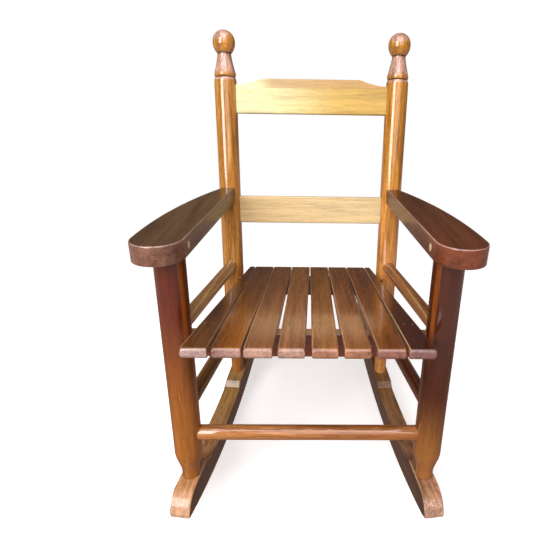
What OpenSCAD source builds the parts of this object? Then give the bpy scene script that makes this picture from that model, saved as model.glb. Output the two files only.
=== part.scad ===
// Child's ladder-back rocking chair with a slatted seat.
// Millimetres, +Z up, +Y towards the back of the chair, floor at z = 0.
// The origin is on the floor under the middle of the chair's bounding box.
// The chair is drawn as it rests when nobody sits in it: its centre of mass
// stands over the line where the rockers touch the floor. Every piece is drawn
// for the +X side, and the -X side is its mirror image.

/* [Posts] */
// Diameter of the front posts
front_post_d = 35; // [32:0.5:38]
// Diameter of the back posts
back_post_d = 33.2; // [31:0.2:35]
// Distance of the front posts' axes from the middle of the chair
front_post_x = 154.3; // [150:0.1:160]
// Length of a back post from its foot to the top of its finial
back_post_len = 547; // [530:1:560]
// Diameter of the posts' tenons in the rockers and in the arms
post_tenon_d = 16; // [12:1:18]

/* [Seat] */
// Backward slope of the seat in degrees
seat_slope = 12.1; // [10:0.1:13]
// Length of the seat slats
slat_len = 326; // [310:1:328]
// Mean width of the seat slats at their front ends
slat_w = 28.8; // [27:0.1:29.2]
// Thickness of a seat slat
slat_t = 10; // [8:0.5:12]
// Thickness of a seat slat at its front end
slat_front_t = 12.8; // [10:0.2:14]
// Slat spacing at the front edge of the seat
slat_pitch_front = 34.2; // [34:0.1:35]
// Slat spacing at the back edge of the seat
slat_pitch_back = 31.3; // [31:0.1:32]
// Gap between the slats at the back edge of the seat
slat_gap_back = 0.8; // [0.4:0.1:2]
// Height of the two seat rails
rail_h = 29; // [24:1:32]
// Thickness of the two seat rails
rail_t = 18; // [14:1:18]

/* [Back] */
// Thickness of the two back slats
back_slat_t = 10; // [8:0.5:12]
// Height of the crest slat at its middle
crest_h = 50.4; // [46:0.2:52]
// Drop of the crest slat's top edge towards its ends
crest_drop = 9.2; // [4:0.2:12]
// Height of the lower back slat
lower_slat_h = 42.5; // [38:0.5:46]

/* [Arms] */
// Thickness of the arms
arm_t = 22; // [20:1:24]
// Backward slope of the arms in degrees
arm_slope = 5.4; // [4.5:0.1:6]
// Radius of an arm's round front end
arm_nose_r = 28.5; // [26:0.5:30]

/* [Rungs] */
// Diameter of the rungs
rung_d = 19; // [16:0.5:20]

/* [Rockers] */
// Overall length of the rockers from front to back
rocker_span = 470; // [450:2:480]
// Width of a rocker
rocker_w = 26; // [24:1:30]
// Depth of a rocker between its raised lands
rocker_t = 32; // [30:1:34]
// Radius of the curved sole
sole_r = 680; // [640:10:720]
// Place of the sole's lowest line, which lies under the centre of mass
contact_y = -17.8; // [-22:0.1:-12]
// Height of the raised land at the back post
land_h = 7.7; // [5:0.1:9]

/* [Hardware] */
// Head diameter of the seat brads
brad_head_d = 2.6; // [2:0.1:3]
// Diameter of the wooden plugs in the arms
plug_d = 9; // [8:0.5:10]
// Diameter of the arm screws' shanks
screw_d = 4.2; // [3.5:0.1:5]

/* [Hidden] */
$fn = 96;
far = 400;

// Colours
dark_walnut = [0.27, 0.14, 0.07];
mahogany = [0.38, 0.16, 0.07];
golden_oak = [0.70, 0.38, 0.12];
pale_gold = [0.86, 0.66, 0.30];
mid_brown = [0.42, 0.23, 0.09];
honey = [0.62, 0.36, 0.13];
light_wood = [0.90, 0.76, 0.55];
steel = [0.60, 0.58, 0.54];

// Post axes, from the shoulder at the foot to the top
front_foot = [front_post_x, -185.8, 58.8];
front_top = [front_post_x, -142.2, 356.9];
front_len = norm(front_top - front_foot);
back_foot = [127.7, 43.4, 42.9];
back_lean = 13.39;
back_splay = 0.35;
back_dir = [
    sin(back_splay),
    cos(back_splay) * sin(back_lean),
    cos(back_splay) * cos(back_lean)
];
back_top = back_foot + back_post_len * back_dir;

function on_axis(foot, top, z) = foot + (top - foot) * (z - foot[2]) / (top[2] - foot[2]);
function front_at(z) = on_axis(front_foot, front_top, z);
function back_at(z) = on_axis(back_foot, back_top, z);
function mirrored(p) = [-p[0], p[1], p[2]];

// Post profiles: lengths along the axis and radii
front_foot_r = 11.2;
front_foot_straight = 7;
front_taper = 40;
back_foot_r = 10.2;
back_foot_straight = 22;
back_taper = 40;
taper_steps = 8;
foot_sink = 8;
post_tenon_len = 24;
ball_r = 16.4;
ball_low = 20;
neck_r = 9.9;
ball_start = -acos(neck_r / ball_r);
neck_from_top = 32.3;
skirt_r = 16;
skirt_from_top = [60.5, 64.6];
crease_r = 14.5;
crease_from_top = 65.2;
shoulder_from_top = 73;
shoulder_steps = 4;
flare_steps = 6;
flare_power = 1.25;
edge = 0.8;
ball_steps = 14;

// Seat plane: front top edge of the seat at the middle of the chair
seat_front_y = -213.3;
seat_front_z = 285;
slat_count = 8;
slat_back_half_w = 103.6;
// The slats are cut and laid by hand: from left to right, how much wider than the
// mean each is at its front end, and how far that end lies off its even place
slat_extra = [-1, 1.4, 1, -0.8, -1.2, -0.8, 1.2, -0.6];
slat_shift = [-0.5, -0.8, -2.1, -1.4, -0.5, -0.2, 1, -0.5];
front_rail_at = 68.4;
slat_even_from = 54;
slat_nose_r = 4.5;
rear_rail_at = 295.8;
rail_tenon_t = 10;
rail_tenon_h = 16;
rail_tenon_shift = 3.5;
rail_tenon_len = 12;
front_rail_half = front_post_x - front_post_d / 2;
rear_rail_half = 112;

// Back slats: bottom edges along the back post from its foot
crest_from_foot = 430.8;
lower_slat_from_foot = 262.9;
crest_flat_half = 73;
crest_end_half = 114;
crest_curve_steps = 8;
back_slat_inset = 4.5;

// Rungs: heights of their axes at the posts
front_rung_z = 123.7;
rear_rung_z = 95;
upper_rung_z = [265.7, 229.8];
lower_rung_z = [156.4, 123.9];
rung_setback = 5;

// Arms: plan shape in the arm's own plane, measured from its front end
arm_front_y = -178.8;
arm_front_z = 383.4;
arm_nose_x = 161;
arm_outer_r = 682;
arm_inner_front_x = arm_nose_x - arm_nose_r;
arm_inner_back_x = 120.5;
arm_len = 292;
arm_tenon_len = 15;
plug_from_front = 42;
plug_above_bottom = 10;
plug_depth = 12;
screw_x = 134.2;
screw_above_bottom = 11;
screw_head_d = 8.4;
screw_head_t = 3;
screw_len = 48;
screw_head_from_front = 311;

// Rockers: plan direction through both feet, and side profile
rocker_toe = atan2(front_foot[0] - back_foot[0], back_foot[1] - front_foot[1]);
rocker_x = back_foot[0] + back_foot[1] * tan(rocker_toe);
rocker_end = (rocker_span / 2 - rocker_w / 2 * sin(rocker_toe)) / cos(rocker_toe);
rocker_mid = contact_y / cos(rocker_toe);
front_land_slope = -7;
rear_land_slope = 5;
front_land = [-21, 24];
rear_land = [-30, 32];
land_foot_run = 8;
land_depth = 16;
nose_r = 30;
nose_inset = 28.5;
tail_r = 22;
arc_fn = 360;
rocker_z_max = 120;

// Seat brads: offset of a pair from its slat's middle line, length and shank
brad_offset = 5.5;
brad_len = 24;
brad_shank_d = 1.5;
brad_head_t = 1;

function smooth(t) = (1 - cos(180 * t)) / 2;
function rocker_u(p) = p[1] / cos(rocker_toe);
function rocker_top(u) =
    sole_r - sqrt(pow(sole_r - rocker_t, 2) - pow(u - rocker_mid, 2));

// ---------- Frames ----------

// Children stand along a post's axis, with their origin at its foot
module along(foot, top) {
    d = top - foot;
    translate(foot)
        rotate([-atan2(d[1], d[2]), 0, 0])
            rotate([0, asin(d[0] / norm(d)), 0])
                children();
}

// Children lie in the seat's plane: x across, y towards the back
module on_seat() {
    translate([0, seat_front_y, seat_front_z])
        rotate([-seat_slope, 0, 0])
            children();
}

// Children stand in the plane of the two back posts, with z = 0 at their feet
module on_back() {
    translate([0, back_foot[1], back_foot[2]])
        rotate([-back_lean, 0, 0])
            children();
}

// Children lie in the arm's plane: y = 0 at its front end, z = 0 at its top
module on_arm() {
    translate([0, arm_front_y, arm_front_z])
        rotate([-arm_slope, 0, 0])
            children();
}

// Children stand in the rocker's side plane: y runs along the rocker
module on_rocker() {
    translate([rocker_x, 0, 0])
        rotate([0, 0, rocker_toe])
            children();
}

// A straight round bar between two points, shortened at both ends
module bar(a, b, d, setback) {
    along(a, b)
        translate([0, 0, setback])
            cylinder(h = norm(b - a) - 2 * setback, d = d);
}

// Everything below a rocker's land, through a post's foot
module below_land(foot, slope) {
    translate(foot)
        rotate([0, 0, rocker_toe])
            rotate([slope, 0, 0])
                translate([-front_post_d, -front_post_d, -front_post_d])
                    cube([2 * front_post_d, 2 * front_post_d, front_post_d]);
}

// ---------- Posts ----------

function taper_points(z0, z1, r0, r1) = [
    for (i = [0 : taper_steps])
        [r0 + (r1 - r0) * smooth(i / taper_steps), z0 + (z1 - z0) * i / taper_steps]
];

function finial_points(l) = concat(
    [
        for (i = [0 : shoulder_steps])
            let (a = 90 * i / shoulder_steps)
            [
                crease_r + (back_post_d / 2 - crease_r) * cos(a),
                l - shoulder_from_top + (shoulder_from_top - crease_from_top) * sin(a)
            ]
    ],
    [
        [skirt_r - edge, l - skirt_from_top[1]],
        [skirt_r, l - skirt_from_top[1] + 2 * edge]
    ],
    [
        for (i = [0 : flare_steps])
            let (t = i / flare_steps)
            [
                neck_r + (skirt_r - neck_r) * pow(1 - t, flare_power),
                l - skirt_from_top[0] + (skirt_from_top[0] - neck_from_top) * t
            ]
    ],
    [
        for (i = [1 : ball_steps - 1])
            let (a = ball_start + (90 - ball_start) * i / ball_steps)
            [ball_r * cos(a), l - ball_r + (a < 0 ? ball_low : ball_r) * sin(a)]
    ],
    [[0, l]]
);

module turned_post(foot_r, foot_straight, taper, shaft_r, upper_points) {
    rotate_extrude()
        polygon(concat(
            [[0, -foot_sink], [foot_r, -foot_sink], [foot_r, foot_straight]],
            taper_points(foot_straight + 1, foot_straight + taper, foot_r, shaft_r),
            upper_points
        ));
}

module front_post_blank() {
    turned_post(
        front_foot_r, front_foot_straight, front_taper, front_post_d / 2,
        [[front_post_d / 2, front_len], [0, front_len]]
    );
}

module back_post_blank() {
    turned_post(
        back_foot_r, back_foot_straight, back_taper, back_post_d / 2,
        finial_points(back_post_len)
    );
}

module foot_tenon(foot, top) {
    along(foot, top)
        translate([0, 0, -post_tenon_len])
            cylinder(h = post_tenon_len + foot_sink, d = post_tenon_d);
}

module top_tenon() {
    along(front_foot, front_top)
        translate([0, 0, front_len - foot_sink])
            cylinder(h = foot_sink + arm_tenon_len, d = post_tenon_d);
}

// The front post stops at the arm's underside, which is not square to it
module front_post() {
    difference() {
        along(front_foot, front_top)
            front_post_blank();
        below_land(front_foot, front_land_slope);
        on_arm()
            translate([front_post_x - front_post_d, 0, -arm_t])
                cube([2 * front_post_d, 3 * front_post_d, front_post_d]);
        front_rail_tenon();
        front_rung_bar();
        upper_side_rung_bar();
        lower_side_rung_bar();
    }
    foot_tenon(front_foot, front_top);
    top_tenon();
}

module back_post() {
    difference() {
        along(back_foot, back_top)
            back_post_blank();
        below_land(back_foot, rear_land_slope);
        crest_tenon();
        lower_slat_tenon();
        rear_rail_tenon();
        rear_rung_bar();
        upper_side_rung_bar();
        lower_side_rung_bar();
        screw_hole();
    }
    foot_tenon(back_foot, back_top);
}

// ---------- Rungs ----------

module front_rung_bar() {
    p = front_at(front_rung_z);
    bar(mirrored(p), p, rung_d, rung_setback);
}

module rear_rung_bar() {
    p = back_at(rear_rung_z);
    bar(mirrored(p), p, rung_d, rung_setback);
}

module side_rung_bar(z) {
    bar(back_at(z[1]), front_at(z[0]), rung_d, rung_setback);
}

module upper_side_rung_bar() {
    side_rung_bar(upper_rung_z);
}

module lower_side_rung_bar() {
    side_rung_bar(lower_rung_z);
}

// ---------- Back slats ----------

// Outline of the crest slat seen from the front, with z = 0 at its bottom
function crest_top(x) =
    let (t = min(1, (abs(x) - crest_flat_half) / (crest_end_half - crest_flat_half)))
    crest_h - crest_drop * (t > 0 ? sin(90 * t) : 0);

function crest_curve_x(i) =
    crest_flat_half + (crest_end_half - crest_flat_half) * i / crest_curve_steps;

function back_slat_half(from_foot, h) =
    back_at(back_foot[2] + (from_foot + h / 2) * cos(back_lean))[0] - back_slat_inset;

module crest_blank() {
    half = back_slat_half(crest_from_foot, crest_h);
    right_edge = [for (i = [0 : crest_curve_steps]) [crest_curve_x(i), crest_top(crest_curve_x(i))]];
    end_h = crest_h - crest_drop;
    left_edge = [for (i = [crest_curve_steps : -1 : 0]) [-crest_curve_x(i), crest_top(crest_curve_x(i))]];
    rotate([90, 0, 0])
        linear_extrude(back_slat_t, center = true)
            polygon(concat(
                [[-half, 0], [half, 0], [half, end_h]],
                [for (i = [crest_curve_steps : -1 : 0]) right_edge[i]],
                [for (i = [crest_curve_steps : -1 : 0]) left_edge[i]],
                [[-half, end_h]]
            ));
}

module crest_tenon() {
    half = back_slat_half(crest_from_foot, crest_h);
    on_back()
        translate([0, -back_slat_t / 2, crest_from_foot])
            cube([half, back_slat_t, crest_h - crest_drop]);
}

module lower_slat_tenon() {
    half = back_slat_half(lower_slat_from_foot, lower_slat_h);
    on_back()
        translate([0, -back_slat_t / 2, lower_slat_from_foot])
            cube([half, back_slat_t, lower_slat_h]);
}

module crest_slat() {
    color(pale_gold)
        on_back()
            translate([0, 0, crest_from_foot])
                crest_blank();
}

module lower_back_slat() {
    half = back_slat_half(lower_slat_from_foot, lower_slat_h);
    color(pale_gold)
        on_back()
            translate([-half, -back_slat_t / 2, lower_slat_from_foot])
                cube([2 * half, back_slat_t, lower_slat_h]);
}

// ---------- Seat ----------

function slat_x(i, pitch) = (i - (slat_count + 1) / 2) * pitch;
function slat_x_front(i) = slat_x(i, slat_pitch_front) + slat_shift[i - 1];

// Plan of a slat. The outer edge of the outermost slats is cut on the skew
function slat_outline(i) =
    let (
        xf = slat_x_front(i),
        xb = slat_x(i, slat_pitch_back),
        half_front = (slat_w + slat_extra[i - 1]) / 2,
        half_back = (slat_pitch_back - slat_gap_back) / 2,
        back_low = i == 1 ? -slat_back_half_w : xb - half_back,
        back_high = i == slat_count ? slat_back_half_w : xb + half_back
    )
    [
        [xf - half_front, 0], [xf + half_front, 0],
        [back_high, slat_len], [back_low, slat_len]
    ];

// Side profile, thicker and rounded at the front end and eased at the back end
module slat_side() {
    ease = 2;
    drop = slat_front_t - slat_t;
    polygon([
        [slat_nose_r, -drop], [slat_even_from, 0], [slat_len - ease, 0],
        [slat_len - ease, slat_t], [slat_nose_r, slat_t]
    ]);
    translate([0, slat_nose_r - drop])
        square([slat_nose_r, slat_front_t - 2 * slat_nose_r]);
    for (z = [slat_nose_r - drop, slat_t - slat_nose_r])
        translate([slat_nose_r, z])
            circle(slat_nose_r);
    translate([slat_len - ease, ease])
        square([ease, slat_t - 2 * ease]);
    for (z = [ease, slat_t - ease])
        translate([slat_len - ease, z])
            circle(ease);
}

module seat_slat(i) {
    color(mid_brown)
        on_seat()
            difference() {
                intersection() {
                    translate([0, 0, -slat_front_t])
                        linear_extrude(slat_front_t)
                            polygon(slat_outline(i));
                    translate([-far / 2, 0, -slat_t])
                        rotate([90, 0, 90])
                            linear_extrude(far)
                                slat_side();
                }
                slat_brads(i);
            }
}

// A slat's brads: two at each rail, and one at the back of the narrow ends
module slat_brads(i) {
    outer = i == 1 || i == slat_count;
    for (at = [front_rail_at, rear_rail_at]) {
        t = at / slat_len;
        x = slat_x_front(i) * (1 - t) + slat_x(i, slat_pitch_back) * t;
        inward = x > 0 ? -1 : 1;
        offsets = outer && at == rear_rail_at ? [inward * brad_offset] : [-brad_offset, brad_offset];
        for (dx = offsets)
            translate([x + dx, at, 0])
                brad();
    }
}

module brad() {
    translate([0, 0, -brad_head_t])
        cylinder(h = brad_head_t, d = brad_head_d, $fn = 24);
    translate([0, 0, -brad_len])
        cylinder(h = brad_len, d = brad_shank_d, $fn = 24);
}

module rail_body(at, half) {
    translate([-half, at - rail_t / 2, -slat_t - rail_h])
        cube([2 * half, rail_t, rail_h]);
}

module rail_tenon_bar(at, half, shift) {
    reach = half + rail_tenon_len;
    translate([-reach, at + shift - rail_tenon_t / 2, -slat_t - (rail_h + rail_tenon_h) / 2])
        cube([2 * reach, rail_tenon_t, rail_tenon_h]);
}

module front_rail_tenon() {
    on_seat()
        rail_tenon_bar(front_rail_at, front_rail_half, -rail_tenon_shift);
}

module rear_rail_tenon() {
    on_seat()
        rail_tenon_bar(rear_rail_at, rear_rail_half, rail_tenon_shift);
}

module seat_rail(at, half, shift) {
    color(mahogany)
        on_seat()
            difference() {
                union() {
                    rail_body(at, half);
                    rail_tenon_bar(at, half, shift);
                }
                for (i = [1 : slat_count])
                    slat_brads(i);
            }
}

module front_seat_rail() {
    seat_rail(front_rail_at, front_rail_half, -rail_tenon_shift);
}

module rear_seat_rail() {
    seat_rail(rear_rail_at, rear_rail_half, rail_tenon_shift);
}

module seat_brads() {
    color(steel)
        on_seat()
            for (i = [1 : slat_count])
                slat_brads(i);
}

// ---------- Arms ----------

// Teardrop plan: straight inside, a long arc outside and a round front end
module arm_plan() {
    translate([arm_nose_x, arm_nose_r])
        circle(arm_nose_r);
    intersection() {
        translate([arm_nose_x + arm_nose_r - arm_outer_r, arm_nose_r])
            circle(arm_outer_r, $fn = arc_fn);
        polygon([
            [arm_inner_front_x, arm_nose_r],
            [arm_nose_x + arm_nose_r, arm_nose_r],
            [arm_nose_x + arm_nose_r, arm_len],
            [arm_inner_back_x, arm_len]
        ]);
    }
}

module plug_bore() {
    on_arm()
        translate([arm_inner_back_x, plug_from_front, plug_above_bottom - arm_t])
            rotate([0, 90, 0])
                cylinder(h = arm_inner_front_x - arm_inner_back_x + plug_depth, d = plug_d);
}

// Children start at the screw head's face and run forward along the screw
module at_screw() {
    on_arm()
        translate([screw_x, screw_head_from_front, screw_above_bottom - arm_t])
            rotate([90, 0, 0])
                children();
}

module screw_body() {
    at_screw() {
        cylinder(h = screw_head_t, d1 = screw_head_d, d2 = screw_d);
        cylinder(h = screw_len, d = screw_d);
    }
}

// The screw with the open mouth of its countersink behind the head
module screw_hole() {
    screw_body();
    at_screw()
        translate([0, 0, -back_post_d])
            cylinder(h = back_post_d, d = screw_head_d);
}

module arm_body() {
    on_arm()
        translate([0, 0, -arm_t])
            linear_extrude(arm_t)
                arm_plan();
}

module arm() {
    difference() {
        arm_body();
        bar(back_foot, back_top, back_post_d, shoulder_from_top);
        top_tenon();
        plug_bore();
        screw_body();
    }
}

// The plug fills its bore up to the arm's inner side
module arm_plug() {
    intersection() {
        plug_bore();
        arm_body();
    }
}

// ---------- Rockers ----------

// A raised flat on the rocker's top, sloping down to the curve at both ends
module land(foot, slope, reach, rise) {
    u = rocker_u(foot);
    z = foot[2];
    polygon([
        [u + reach[0], z + reach[0] * tan(slope)],
        [u + reach[1], z + reach[1] * tan(slope)],
        [u + reach[1] + land_foot_run, z + reach[1] * tan(slope) - rise],
        [u + reach[1], z + reach[1] * tan(slope) - land_depth],
        [u + reach[0], z + reach[0] * tan(slope) - land_depth],
        [u + reach[0] - land_foot_run, z + reach[0] * tan(slope) - rise]
    ]);
}

// Cuts one end round at the top: x = 0 is the rocker's end, r the rounding
module end_round(inset, top, r) {
    difference() {
        translate([-1, top - r])
            square([1 + inset, 2 * r]);
        translate([inset, top - r])
            circle(r);
    }
}

module rocker_band() {
    difference() {
        intersection() {
            translate([rocker_mid, sole_r])
                circle(sole_r, $fn = arc_fn);
            translate([-rocker_end, -1])
                square([2 * rocker_end, rocker_z_max]);
        }
        translate([rocker_mid, sole_r])
            circle(sole_r - rocker_t, $fn = arc_fn);
        translate([-rocker_end, 0])
            end_round(nose_inset, rocker_top(nose_inset - rocker_end), nose_r);
        translate([rocker_end, 0])
            mirror([1, 0])
                end_round(tail_r, rocker_top(rocker_end - tail_r), tail_r);
    }
}

// Children are side profiles, made as thick as the rocker is wide
module plank() {
    on_rocker()
        rotate([90, 0, 90])
            linear_extrude(rocker_w, center = true)
                children();
}

module rocker() {
    difference() {
        union() {
            plank()
                rocker_band();
            plank()
                land(front_foot, front_land_slope, front_land, land_h);
            plank()
                land(back_foot, rear_land_slope, rear_land, land_h);
        }
        foot_tenon(front_foot, front_top);
        foot_tenon(back_foot, back_top);
    }
}

// ---------- Left and right ----------

module side(right) {
    mirror([right ? 0 : 1, 0, 0])
        children();
}

module both_sides() {
    side(true)
        children();
    side(false)
        children();
}

color(golden_oak) side(false) back_post();  // back_post_left
color(golden_oak) side(true) back_post();  // back_post_right
color(mahogany) side(false) front_post();  // front_post_left
color(mahogany) side(true) front_post();  // front_post_right
color(dark_walnut) side(false) arm();  // arm_left
color(dark_walnut) side(true) arm();  // arm_right
crest_slat();
lower_back_slat();
seat_slat(1);  // seat_slat_1
seat_slat(2);  // seat_slat_2
seat_slat(3);  // seat_slat_3
seat_slat(4);  // seat_slat_4
seat_slat(5);  // seat_slat_5
seat_slat(6);  // seat_slat_6
seat_slat(7);  // seat_slat_7
seat_slat(8);  // seat_slat_8
front_seat_rail();
rear_seat_rail();
color(honey) side(false) upper_side_rung_bar();  // upper_side_rung_left
color(honey) side(true) upper_side_rung_bar();  // upper_side_rung_right
color(honey) side(false) lower_side_rung_bar();  // lower_side_rung_left
color(honey) side(true) lower_side_rung_bar();  // lower_side_rung_right
color(honey) front_rung_bar();  // front_rung
color(honey) rear_rung_bar();  // rear_rung
color(mid_brown) side(false) rocker();  // rocker_left
color(mid_brown) side(true) rocker();  // rocker_right
seat_brads();
color(light_wood) both_sides() arm_plug();  // arm_plugs
color(steel) both_sides() screw_body();  // arm_screws
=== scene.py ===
"""Child's ladder-back rocking chair with a slatted seat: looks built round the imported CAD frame.

Lengths are given in millimetres and scaled once, where meshes and matrices are made.
"""
import math

import bmesh
import bpy
from mathutils import Matrix, Vector


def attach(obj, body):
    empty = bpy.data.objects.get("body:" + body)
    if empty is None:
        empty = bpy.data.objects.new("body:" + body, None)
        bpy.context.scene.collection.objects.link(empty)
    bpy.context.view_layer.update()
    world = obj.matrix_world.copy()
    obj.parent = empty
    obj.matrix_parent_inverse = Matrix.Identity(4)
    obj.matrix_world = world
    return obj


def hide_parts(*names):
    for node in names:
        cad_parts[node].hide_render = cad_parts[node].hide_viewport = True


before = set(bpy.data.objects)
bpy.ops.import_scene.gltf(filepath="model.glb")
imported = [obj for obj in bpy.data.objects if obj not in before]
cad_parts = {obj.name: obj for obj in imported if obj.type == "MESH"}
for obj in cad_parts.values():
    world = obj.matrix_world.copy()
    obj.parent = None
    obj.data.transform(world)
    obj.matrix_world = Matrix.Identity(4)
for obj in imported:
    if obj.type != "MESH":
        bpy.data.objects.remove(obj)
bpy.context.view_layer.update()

MM = 0.001
Z_UP = Vector((0, 0, 1))
GRAIN = "grain"


def rad(degrees):
    return math.radians(degrees)


# ---------------------------------------------------------------- design sizes, as in the CAD frame

FRONT_FOOT = Vector((154.3, -185.8, 58.8))
FRONT_TOP = Vector((154.3, -142.2, 356.9))
FRONT_R = 17.5
BACK_FOOT = Vector((127.7, 43.4, 42.9))
BACK_LEAN = 13.39
BACK_SPLAY = 0.35
BACK_LEN = 547
BACK_R = 16.6
BALL_R, BALL_LOW, NECK_R, NECK_AT = 16.4, 20, 9.9, 32.3
SKIRT_R, SKIRT_AT = 16, 60.5
CREASE_R, CREASE_AT, SHOULDER_AT = 14.5, 65.2, 73
FLARE_POWER = 1.25
SKIRT_LIP = ((15.0, 0.5), (15.5, 1.1), (15.9, 2.0), (SKIRT_R, 3.2))
FRONT_FOOT_R, FRONT_FOOT_STRAIGHT = 11.2, 7
BACK_FOOT_R, BACK_FOOT_STRAIGHT = 10.2, 22
SHAFT_FROM = 40
BACK_DIR = Vector((
    math.sin(rad(BACK_SPLAY)),
    math.cos(rad(BACK_SPLAY)) * math.sin(rad(BACK_LEAN)),
    math.cos(rad(BACK_SPLAY)) * math.cos(rad(BACK_LEAN)),
))
BACK_TOP = BACK_FOOT + BACK_DIR * BACK_LEN
TOE = math.atan2(FRONT_FOOT.x - BACK_FOOT.x, BACK_FOOT.y - FRONT_FOOT.y)
FRONT_LAND_SLOPE = -7
REAR_LAND_SLOPE = 5

SEAT_ORIGIN = Vector((0, -213.3, 285))
SEAT_SLOPE = 12.1
SLAT_LEN, SLAT_W, SLAT_T = 326, 28.8, 10
PITCH_FRONT, PITCH_BACK = 34.2, 31.3
SLAT_GAP_BACK = 0.8
SLAT_FRONT_T, SLAT_NOSE_R, SLAT_EVEN_FROM = 12.8, 4.5, 54
SLATS = 8
SLAT_EXTRA = (-1, 1.4, 1, -0.8, -1.2, -0.8, 1.2, -0.6)
SLAT_SHIFT = (-0.5, -0.8, -2.1, -1.4, -0.5, -0.2, 1, -0.5)
SEAT_BACK_HALF = 103.6
FRONT_RAIL_AT, REAR_RAIL_AT = 68.4, 295.8
RAIL_T, RAIL_H = 18, 29
REAR_RAIL_HALF, RAIL_TENON, RAIL_EDGE = 112, 8, 1.6
BRAD_OFFSET, BRAD_R, BRAD_HEAD = 5.5, 1.3, 0.25
SLAT_EDGE = 1.6

ARM_ORIGIN = Vector((0, -178.8, 383.4))
ARM_SLOPE = 5.4
ARM_T = 22
ARM_NOSE_R = 28.5
ARM_NOSE_X = 161
ARM_OUTER_R = 682
ARM_INNER_BACK_X = 120.5
PLUG_AT, PLUG_HEIGHT = 42, 10
PLUG_R, PLUG_HEAD = 4.5, 0.4
SCREW_AT = (134.2, 311.9, 11)
BAND_H, BAND_DEPTH = 13, 2.2
ARM_BACK = 286

RUNG_R = 9.5
RUNG_SETBACK = 5
FRONT_RUNG_Z, REAR_RUNG_Z = 123.7, 95
# Heights of the side rungs at the back post and at the front post
UPPER_RUNG_Z = (229.8, 265.7)
LOWER_RUNG_Z = (123.9, 156.4)
CREST_FROM_FOOT, CREST_H, CREST_DROP = 430.8, 50.4, 9.2
CREST_FLAT_HALF, CREST_END_HALF = 73, 114
LOWER_FROM_FOOT, LOWER_H = 262.9, 42.5
BACK_SLAT_T = 10
BACK_SLAT_INSET = 4.5

ROCKER_SPAN, ROCKER_W, ROCKER_T = 470, 26, 32
SOLE_R = 680
CONTACT_Y = -17.8
LAND_H, LAND_RUN = 7.7, 8
FRONT_LAND = (-21, 24)
REAR_LAND = (-30, 32)
NOSE_R, NOSE_INSET, TAIL_R = 30, 28.5, 22


# ---------------------------------------------------------------- small geometry helpers

def side_point(point, side):
    """The point on the +X side, or its mirror image on the -X side."""
    return Vector((point.x * side, point.y, point.z))


def on_axis(foot, top, z):
    return foot + (top - foot) * ((z - foot.z) / (top.z - foot.z))


def stand(origin, along):
    """Matrix that puts local Z on the direction along, at a point given in millimetres."""
    turn = Z_UP.rotation_difference(along.normalized()).to_matrix().to_4x4()
    return Matrix.Translation(origin * MM) @ turn


def tilt(origin, degrees, toe=0.0):
    """Matrix turned about X, and about Z by toe radians, at a point given in millimetres."""
    turn = Matrix.Rotation(toe, 4, "Z") @ Matrix.Rotation(rad(degrees), 4, "X")
    return Matrix.Translation(origin * MM) @ turn


def land_normal(slope, side):
    normal = Matrix.Rotation(TOE, 3, "Z") @ Matrix.Rotation(rad(slope), 3, "X") @ Z_UP
    return Vector((normal.x * side, normal.y, normal.z))


def smooth(t):
    return (1 - math.cos(math.pi * t)) / 2


def arc(cx, cy, r, start, end, steps):
    """Points on an arc, angles in degrees."""
    return [
        (
            cx + r * math.cos(rad(start + (end - start) * i / steps)),
            cy + r * math.sin(rad(start + (end - start) * i / steps)),
        )
        for i in range(steps + 1)
    ]


# ---------------------------------------------------------------- materials

def link(tree, a, b):
    tree.links.new(a, b)


def math_node(tree, op, a, b=None, clamp=False):
    node = tree.nodes.new("ShaderNodeMath")
    node.operation = op
    node.use_clamp = clamp
    for socket, value in zip(node.inputs, (a, b)):
        if value is None:
            continue
        if isinstance(value, (int, float)):
            socket.default_value = value
        else:
            link(tree, value, socket)
    return node.outputs[0]


def noise(tree, vector, scale, detail=2.0, rough=0.5, distortion=0.0):
    node = tree.nodes.new("ShaderNodeTexNoise")
    node.inputs["Scale"].default_value = scale
    node.inputs["Detail"].default_value = detail
    node.inputs["Roughness"].default_value = rough
    node.inputs["Distortion"].default_value = distortion
    link(tree, vector, node.inputs["Vector"])
    return node.outputs["Fac"]


def grain_coords(tree):
    node = tree.nodes.new("ShaderNodeAttribute")
    node.attribute_name = GRAIN
    return node.outputs["Vector"]


def mapped(tree, coords, scale, offset):
    node = tree.nodes.new("ShaderNodeMapping")
    node.inputs["Scale"].default_value = scale
    node.inputs["Location"].default_value = offset
    link(tree, coords, node.inputs["Vector"])
    return node.outputs["Vector"]


def ramp(tree, fac, stops):
    node = tree.nodes.new("ShaderNodeValToRGB")
    elements = node.color_ramp.elements
    while len(elements) < len(stops):
        elements.new(0.5)
    for element, (position, colour) in zip(elements, stops):
        element.position = position
        element.color = (*colour, 1)
    link(tree, fac, node.inputs["Fac"])
    return node.outputs["Color"]


def mix_colour(tree, fac, a, b, blend="MIX"):
    node = tree.nodes.new("ShaderNodeMix")
    node.data_type = "RGBA"
    node.blend_type = blend
    for socket, value in ((node.inputs[0], fac), (node.inputs[6], a), (node.inputs[7], b)):
        if isinstance(value, (int, float)):
            socket.default_value = value
        elif isinstance(value, tuple):
            socket.default_value = (*value, 1)
        else:
            link(tree, value, socket)
    return node.outputs[2]


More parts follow.
